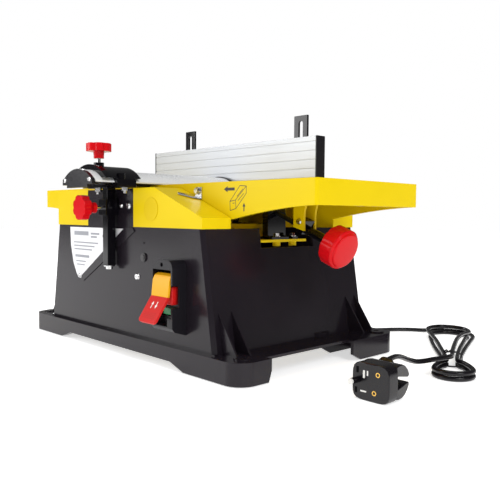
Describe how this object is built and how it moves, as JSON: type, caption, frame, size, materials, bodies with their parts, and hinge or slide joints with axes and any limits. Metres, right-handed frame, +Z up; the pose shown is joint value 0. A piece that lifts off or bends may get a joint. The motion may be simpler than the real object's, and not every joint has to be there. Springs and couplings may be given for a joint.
{
  "type": "bench-top jointer",
  "caption": "Bench-top jointer: moulded base, cast tables, cutterhead, tilting fence, sliding bar guard, flap switch and tied mains lead.",
  "frame": {"origin": "on the floor at the centre of the four foot holes", "axes": "+X towards the infeed end with the depth knob, +Y towards the fence, +Z up"},
  "size_m": [0.8445, 0.6464, 0.394],
  "materials": {
    "cast_yellow": "gloss paint",
    "cap_yellow": "satin",
    "housing_black": "fine moulded texture",
    "trim_black": "satin",
    "bracket_black": "gloss powder coat",
    "screw_black": "black oxide",
    "motor_black": "satin",
    "knob_red": "gloss",
    "flap_red": "gloss",
    "flap_yellow": "gloss",
    "button_green": "gloss",
    "button_red": "gloss",
    "button_black": "gloss",
    "fasteners": "zinc plated",
    "extrusion": "satin anodised",
    "drum_steel": "ground",
    "knife_steel": "honed",
    "block_iron": "machined",
    "pulley_alloy": "machined",
    "rubber": "matte",
    "cord_black": "satin",
    "label_white": "printed film",
    "contact_brass": "plated"
  },
  "bodies": {
    "base": {"base_housing": "housing_black", "rubber_feet": "rubber", "main_casting": "cast_yellow", "outfeed_table": "cast_yellow", "bearing_blocks": "block_iron", "casting_screws": "fasteners", "bearings": "drum_steel", "motor_housing": "motor_black", "drive_belt": "rubber", "chip_chute": "trim_black", "dust_port": "trim_black", "switch_housing": "trim_black", "panel_screws": "fasteners", "label_plate": "label_white", "cheek_cap": "cap_yellow", "nut_bracket": "bracket_black", "fence_feet": "bracket_black", "fence_pins": "fasteners", "clamp_block": "bracket_black", "strain_relief": "cord_black", "cord": "cord_black", "hank": "cord_black", "hank_tie": "cord_black", "lead": "cord_black", "plug": "cord_black", "plug_contacts": "contact_brass"},
    "infeed": {"infeed_table": "cast_yellow", "screw_hanger": "bracket_black", "table_bolts": "fasteners", "depth_pointer": "fasteners"},
    "depth_adjuster": {"depth_knob": "knob_red", "depth_screw": "screw_black"},
    "cutterhead": {"drum": "drum_steel", "knives": "knife_steel", "gibs": "drum_steel", "gib_screws": "fasteners", "head_pulley": "pulley_alloy"},
    "motor_rotor": {"rotor": "drum_steel"},
    "guard_support": {"guard_post": "bracket_black", "post_bolts": "fasteners", "saddle": "bracket_black"},
    "guard": {"guard_bar": "extrusion", "bar_ends": "trim_black", "bar_screws": "fasteners"},
    "post_lock": {"side_knob": "knob_red", "side_stud": "fasteners"},
    "bar_lock": {"top_knob": "knob_red", "top_stud": "fasteners"},
    "fence_carrier": {"fence_plates": "bracket_black"},
    "fence_body": {"fence": "extrusion", "fence_caps": "trim_black", "fence_bolts": "fasteners"},
    "fence_lock_left": {"fence_knob_left": "trim_black"},
    "fence_lock_right": {"fence_knob_right": "trim_black"},
    "switch_flap": {"flap_yellow": "flap_yellow", "flap_red": "flap_red"},
    "start": {"start_button": "button_green"},
    "stop": {"stop_button": "button_red"},
    "reset": {"reset_button": "button_black"}
  },
  "joints": [
    {"name": "infeed_slide", "type": "slide", "parent": "base", "child": "infeed", "axis": [0.9304, 0, -0.3665], "range_m": [0, 0.0087]},
    {"name": "depth_turn", "type": "hinge", "parent": "infeed", "child": "depth_adjuster", "pos_m": [0.3244, 0, 0.1743], "axis": [0.9304, 0, -0.3665], "range_deg": [-10, 1600]},
    {"name": "cutterhead_spin", "type": "hinge", "parent": "base", "child": "cutterhead", "pos_m": [-0.011, 0, 0.2454], "axis": [0, 1, 0], "continuous": true},
    {"name": "motor_spin", "type": "hinge", "parent": "base", "child": "motor_rotor", "pos_m": [-0.122, 0, 0.098], "axis": [0, 1, 0], "continuous": true},
    {"name": "guard_height", "type": "slide", "parent": "base", "child": "guard_support", "axis": [0, 0, 1], "range_m": [0, 0.065]},
    {"name": "guard_reach", "type": "slide", "parent": "guard_support", "child": "guard", "axis": [0, 1, 0], "range_m": [-0.11, 0]},
    {"name": "post_lock_turn", "type": "hinge", "parent": "base", "child": "post_lock", "pos_m": [-0.011, -0.22, 0.2335], "axis": [0, -1, 0], "continuous": true},
    {"name": "bar_lock_turn", "type": "hinge", "parent": "guard_support", "child": "bar_lock", "pos_m": [-0.011, -0.1976, 0.31], "axis": [0, 0, 1], "continuous": true},
    {"name": "fence_tilt", "type": "hinge", "parent": "base", "child": "fence_carrier", "pos_m": [0, 0.106, 0.279], "axis": [-1, 0, 0], "range_deg": [0, 45]},
    {"name": "fence_rise", "type": "slide", "parent": "fence_carrier", "child": "fence_body", "axis": [0, 0, 1], "range_m": [0, 0.055]},
    {"name": "fence_lock_left_turn", "type": "hinge", "parent": "fence_body", "child": "fence_lock_left", "pos_m": [-0.152, 0.11, 0.32], "axis": [0, 1, 0], "continuous": true},
    {"name": "fence_lock_right_turn", "type": "hinge", "parent": "fence_body", "child": "fence_lock_right", "pos_m": [0.152, 0.11, 0.32], "axis": [0, 1, 0], "continuous": true},
    {"name": "switch_flap_swing", "type": "hinge", "parent": "base", "child": "switch_flap", "pos_m": [0.15, -0.184, 0.137], "axis": [1, 0, 0], "range_deg": [-75, 6]},
    {"name": "start_press", "type": "slide", "parent": "base", "child": "start", "axis": [0, 1, 0], "range_m": [0, 0.004], "stiffness_N_per_m": 400, "springref_m": -0.001},
    {"name": "stop_press", "type": "slide", "parent": "base", "child": "stop", "axis": [0, 1, 0], "range_m": [0, 0.004], "stiffness_N_per_m": 400, "springref_m": -0.001},
    {"name": "reset_press", "type": "slide", "parent": "base", "child": "reset", "axis": [0, 1, 0], "range_m": [0, 0.002], "stiffness_N_per_m": 600, "springref_m": -0.001}
  ],
  "couplings": [
    {"joint": "depth_turn", "follows": "infeed_slide", "rad_per_m": 3141.6},
    {"joint": "motor_spin", "follows": "cutterhead_spin", "ratio": 1.5039}
  ]
}
